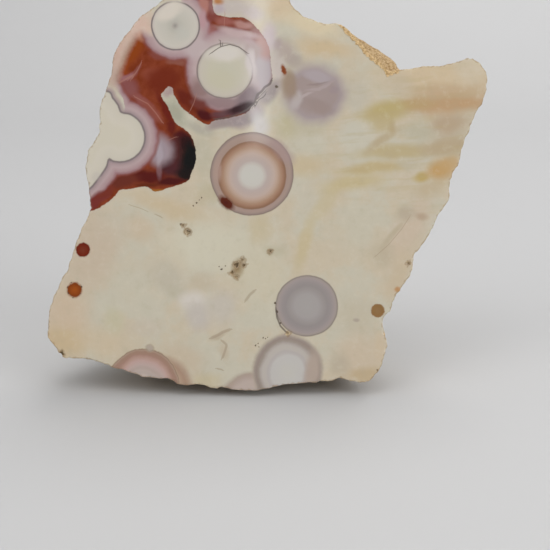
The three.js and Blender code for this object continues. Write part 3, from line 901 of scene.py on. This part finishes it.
def haloGap(facePlace, firmPlace):
    # millimetres from the nearest of two orbs and the bay, which have a pale halo in the iron
    ripple = swing(noise(facePlace, 2.5), 0.8)
    left = beyondOrb(firmPlace, -20.85, 83.3, 7.6)
    middle = beyondOrb(firmPlace, -8.8, 73.1, 9.43)
    bay = maths("MULTIPLY_ADD", attribute("bayDepth"), -1.0, -2.7)
    return maths("ADD", maths("SMOOTH_MIN", maths("SMOOTH_MIN", left, middle, 1.0), bay, 1.0), ripple)


def ironColour(facePlace, softPlace, firmPlace):
    mottle = noise(softPlace, 2.2, 4.0, 0.6)
    iron = tinge(paint(finish["iron"]), finish["ironLight"], mottle, 0.3, 0.7)
    iron = paintPatches(iron, ironPatches, softPlace)
    iron = paintRamp(iron, maths("MULTIPLY_ADD", haloGap(facePlace, firmPlace), 0.25, 0.72), [
        (0.0, "b6a7a3"), (0.35, "b09b9a"), (0.6, "a3898b"), (0.72, "936f70"), (0.8, "85544e", 0.75),
        (0.95, "7a4038", 0),
    ])
    return paintPatches(iron, haloPatches, softPlace)


def jasperColour(facePlace):
    softPlace = wandered(wandered(facePlace, 7.0, 2.6), 1.8, 0.7)
    firmPlace = wandered(wandered(facePlace, 8.0, 0.5), 1.2, 0.16)
    jaggedPlace = wandered(facePlace, 0.6, 0.5, 2.0)
    ground = groundColour(facePlace)
    iron = ironColour(facePlace, softPlace, firmPlace)
    # the iron's edge is crisp but for the upper left, where it fades
    fadeSpot = placed(facePlace, (-31.8, 0, 77.0), -28, (6, 8, 13))
    softness = stepBetween(nearness(fadeSpot), 0.0, 0.5, 0.10, 1.3)
    jag = swing(noise(facePlace, 0.7), 0.5)
    colour = blend(edgeShare(maths("ADD", attribute("ironDepth"), jag), softness), ground, iron)
    # the cream bay and its fine grey line
    bay = maths("ADD", attribute("bayDepth"), maths("MULTIPLY", jag, 0.3))
    colour = paintRamp(colour, maths("MULTIPLY_ADD", bay, 0.2, 0.26), [
        (0.0, "a08c8e", 0), (0.12, "9c888a", 0.6), (0.21, "948385", 0.9), (0.232, "7d7271"),
        (0.272, "7d7271"), (0.325, "c1baac"), (0.8, "c6bfb1"), (1.0, "c4bdad"),
    ])
    colour = paintOrbs(colour, clouds, softPlace)
    colour = paintPatches(colour, cloudPatches, softPlace)
    firmPlace = inTurn(colour, firmPlace)
    mellowPlace = wandered(wandered(firmPlace, 5.0, 0.9), 0.8, 0.35, 2.0)
    colour = paintOrbs(colour, orbs, firmPlace)
    colour = paintOrbs(colour, mellowOrbs, mellowPlace)
    colour = paintPatches(colour, innerPatches, softPlace)
    jaggedPlace = inTurn(colour, jaggedPlace)
    colour = paintOrbs(colour, dots, jaggedPlace)
    jaggedPlace = inTurn(colour, jaggedPlace)
    for across, up, radius in specks:
        reach = 1.6 * radius
        near = nearness(placed(jaggedPlace, (across, 0, up), 0, (reach, reach, reach)))
        colour = tinge(colour, "55483b", near, 0.1, 0.6, 0.9)
    for group in lineGroups:
        near = maths("ABSOLUTE", attribute(group["name"] + "Side"))
        close = stepBetween(attribute(group["name"] + "Near"), 0.7, 0.5)
        share = maths("MULTIPLY", stepBetween(near, 1.7, 0.6), close)
        colour = blend(maths("MULTIPLY", share, group["cover"]), colour, paint(group["tint"]))
    return colour


def sandColour(facePlace):
    # sandy ochre crust: pale and tan grains, and a few dark ones
    grains = noise(facePlace, 0.55, 3.0, 0.75)
    sand = tinge(paint("a98a5c"), "d3b78c", grains, 0.38, 0.6)
    darkGrains = noise(facePlace, 0.35, 1.0)
    return tinge(sand, "6d5232", darkGrains, 0.62, 0.7, 0.7)


def rindColour(facePlace, sand):
    patches = noise(facePlace, 5.0, 5.0, 0.65)
    pale = tinge(paint("b9a585"), "d3c8b2", patches, 0.4, 0.62)
    where = noise(facePlace, 16.0, 5.0, 0.6)
    colour = blend(stepBetween(where, 0.44, 0.6, 0.15, 0.85), pale, sand)
    stain = noise(facePlace, 9.0, 4.0, 0.6)
    colour = tinge(colour, "9c6a3c", stain, 0.58, 0.7, 0.5)
    hollow = attribute("hollow")
    colour = tinge(colour, "75603f", hollow, 0.02, 0.3, 0.6)
    return tinge(colour, "ddd2bc", hollow, -0.02, -0.25, 0.4)


def brokenColour(facePlace, cut):
    # a flake scar shows the jasper of the cut, paler and unpolished
    broken = noise(facePlace, 3.5, 5.0, 0.7)
    bloom = blend(broken, paint("b89f72"), paint("ddd0b2"))
    return blend(stepBetween(broken, 0.35, 0.65, 0.4, 0.7), cut, bloom)


def inStrip(facePlace, depth, crumbs):
    # share of the ochre strip in the notch, ragged and fading the further back it reaches
    ragged = swing(noise(facePlace, 4.0, 3.0), maths("MULTIPLY", depth, 1.4))
    ragged = maths("ADD", swing(crumbs, 1.5), ragged)
    feather = stepBetween(depth, 0.5, 5.0, 0.12, 2.5)
    return edgeShare(maths("ADD", attribute("ochreDepth"), ragged), feather)


def finishJasper():
    objectPlace = addNode("TexCoord", {}).outputs["Object"]
    facePlace = addNode("Mapping", {
        "Vector": objectPlace, "Location": faceFrame.translation, "Rotation": (-faceSetting["lean"], 0, 0),
        "Scale": (mm, mm, mm),
    }, vector_type="TEXTURE").outputs[0]
    depth = addNode("SeparateXYZ", {0: facePlace}).outputs["Y"]
    onFace = stepBetween(depth, 0.06, 0.02)
    cut = jasperColour(facePlace)
    crumbs = noise(facePlace, 0.9, 3.0)
    # the thin crust shows as a brownish line at the rim of the face
    rim = maths("ADD", attribute("rimDistance"), swing(crumbs, 1.2))
    faceColour = tinge(cut, "8d7456", rim, 0.35, 0.05, 0.5)
    sand = sandColour(facePlace)
    frayed = maths("ADD", crumbs, maths("MULTIPLY", noise(facePlace, 3.0, 4.0, 0.7), 3.0))
    freshBreak = stepBetween(maths("ADD", attribute("scarGap"), frayed), 3.2, 2.7)
    rough = blend(freshBreak, rindColour(facePlace, sand), brokenColour(facePlace, cut))
    # behind the face the sandy strip is darkened with painted shade, since the light strikes it more than
    # the leaning face
    ochre = blend(onFace, blend(1.0, sand, finish["sandPaintedShade"], "MULTIPLY"), sand)
    strip = inStrip(facePlace, depth, crumbs)
    colour = blend(strip, blend(onFace, rough, faceColour), ochre)
    # the floors of the pits are painted dark brown
    pitFloorColour = tinge(paint("5a4a36"), "9c8a6c", crumbs, 0.4, 0.6)
    feed(shader.inputs["Base Color"], blend(maths("MULTIPLY", attribute("inPit"), 0.8), colour, pitFloorColour))
    polished = maths("MULTIPLY", onFace, maths("SUBTRACT", 1.0, strip))
    rindRoughness, polishRoughness = finish["rindRoughness"], finish["polishRoughness"]
    roughness = maths("MULTIPLY_ADD", freshBreak, finish["brokenRoughness"] - rindRoughness, rindRoughness)
    roughness = maths("MULTIPLY_ADD", polished, maths("SUBTRACT", polishRoughness, roughness), roughness)
    feed(shader.inputs["Roughness"], roughness)
    for name, value in glow.items():
        feed(shader.inputs[name], value)
    grit = maths("MULTIPLY", noise(facePlace, 0.35, 3.0, 0.65), maths("SUBTRACT", 1.0, polished))
    bump = addNode("Bump", {"Height": grit, "Strength": 0.8, "Distance": finish["gritHeight"]})
    feed(shader.inputs["Normal"], bump.outputs["Normal"])


finishJasper()
print("material:", len(tree.nodes), "nodes")
stone.data.materials.clear()
stone.data.materials.append(jasper)
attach(stone, "root")
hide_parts("ocean_jasper")

view = {
    "aim": facePoint(1.76, 26.5),  # of the middle of the picture
    "fieldWidth": 125 * mm,  # across the picture, on the face
    "lens": 75.0,
    "sensor": 36.0,
}


def addCamera():
    away = view["fieldWidth"] * view["lens"] / view["sensor"]
    outward = faceFrame.to_3x3() @ Vector((0.0, -1.0, 0.0))
    bpy.ops.object.camera_add(location=view["aim"] + outward * away)
    camera = bpy.context.object
    camera.rotation_euler = (-outward).to_track_quat("-Z", "Y").to_euler()
    camera.data.lens = view["lens"]
    camera.data.sensor_width = view["sensor"]
    camera.data.clip_start = 0.01
    bpy.context.scene.camera = camera


addCamera()

studio = {
    "paper": (0.475, 0.473, 0.473, 1.0),
    "air": 0.46,
    "airFront": 0.20,  # toward the camera, where the polish mirrors it
    "airTurn": (0.93, 0.97),  # cosines of the angle to the camera, between which it changes
    "airTint": (0.985, 0.99, 1.0, 1.0),
    "floorSize": 3.0,
    "wallDistance": 0.9,
    "wallHeight": 1.4,
    "curve": 0.45,
}


def addFloor():
    size = studio["floorSize"]
    bpy.ops.mesh.primitive_plane_add(size=size, location=(0, studio["wallDistance"] - size / 2, 0))
    floor = bpy.context.object
    floor.name = "floor"
    wall = {"value": (0, 0, studio["wallHeight"])}
    atBack = placesOf(floor)[:, 1] > 0
    editVertices(floor, atBack, bpy.ops.mesh.extrude_region_move, TRANSFORM_OT_translate=wall)
    bpy.ops.object.transform_apply(location=True, rotation=True, scale=True)
    corner = np.hypot(placesOf(floor)[:, 1] - studio["wallDistance"], placesOf(floor)[:, 2]) < mm
    editVertices(
        floor, corner, bpy.ops.mesh.bevel, offset=studio["curve"], segments=24, profile=0.5, affect="EDGES",
    )
    bpy.ops.object.shade_smooth()
    paper = bpy.data.materials.new("palePaper")
    paper.use_nodes = True
    surface = paper.node_tree.nodes["Principled BSDF"]
    surface.inputs["Base Color"].default_value = studio["paper"]
    surface.inputs["Roughness"].default_value = 0.6
    floor.data.materials.append(paper)


addFloor()
lamps = {
    "keyLeft": {"at": (-0.75, -0.65, 1.00), "aim": (0, 0, 0.04), "size": 0.90, "power": 3.6},
    "keyRight": {"at": (0.80, -0.70, 0.75), "aim": (0, 0, 0.03), "size": 0.90, "power": 3.7},
    "keyHigh": {"at": (0.0, -0.55, 1.05), "aim": (0, 0, 0.04), "size": 0.70, "power": 2.2},
    "lowLeft": {"at": (-0.85, -0.75, 0.38), "aim": (0, 0, 0.02), "size": 0.60, "power": 1.2},
    "lowRight": {"at": (0.85, -0.75, 0.30), "aim": (0, 0, 0.01), "size": 0.60, "power": 3.3},
    "overhead": {"at": (0.05, 0.15, 1.10), "aim": (0, 0, 0.04), "size": 1.10, "power": 1.2},
    "backWash": {"at": (0.35, 0.65, 1.10), "aim": (0.1, 0.5, 0.0), "size": 0.90, "power": 7.8},
}
# The narrow light that the polished face mirrors: millimetres across, up and into the stone, and its size
glint = {"at": (-10.8, 194.0, -600.0), "width": 14.0 * mm, "height": 142.0 * mm, "glow": 3.5}


def addLight(name, location, turn, shape, size, power):
    bpy.ops.object.light_add(type="AREA", location=location, rotation=turn)
    light = bpy.context.object
    light.name = name
    light.data.shape = shape
    light.data.size, light.data.size_y = size
    light.data.energy = power


def addLamps():
    for name, lamp in lamps.items():
        toAim = Vector(lamp["aim"]) - Vector(lamp["at"])
        turn = toAim.to_track_quat("-Z", "Y").to_euler()
        addLight(name, lamp["at"], turn, "DISK", (lamp["size"], lamp["size"]), lamp["power"])
    size = (glint["width"], glint["height"])
    power = glint["glow"] * math.pi * size[0] * size[1]
    turn = bpy.context.scene.camera.rotation_euler
    addLight("tallGlint", facePoint(*glint["at"]), turn, "RECTANGLE", size, power)


def addAir():
    world = bpy.data.worlds.new("studioAir")
    world.use_nodes = True
    nodes, links = world.node_tree.nodes, world.node_tree.links
    direction = nodes.new("ShaderNodeTexCoord").outputs["Generated"]
    facing = nodes.new("ShaderNodeVectorMath")
    facing.operation = "DOT_PRODUCT"
    facing.inputs[1].default_value = (bpy.context.scene.camera.location - view["aim"]).normalized()
    links.new(direction, facing.inputs[0])
    strength = nodes.new("ShaderNodeMapRange")
    strength.interpolation_type = "SMOOTHSTEP"
    low, high = studio["airTurn"]
    limits = {"From Min": low, "From Max": high, "To Min": studio["air"], "To Max": studio["airFront"]}
    for name, value in limits.items():
        strength.inputs[name].default_value = value
    links.new(facing.outputs["Value"], strength.inputs["Value"])
    background = nodes["Background"]
    background.inputs["Color"].default_value = studio["airTint"]
    links.new(strength.outputs["Result"], background.inputs["Strength"])
    bpy.context.scene.world = world


addLamps()
addAir()
bpy.context.scene.view_settings.view_transform = "Standard"
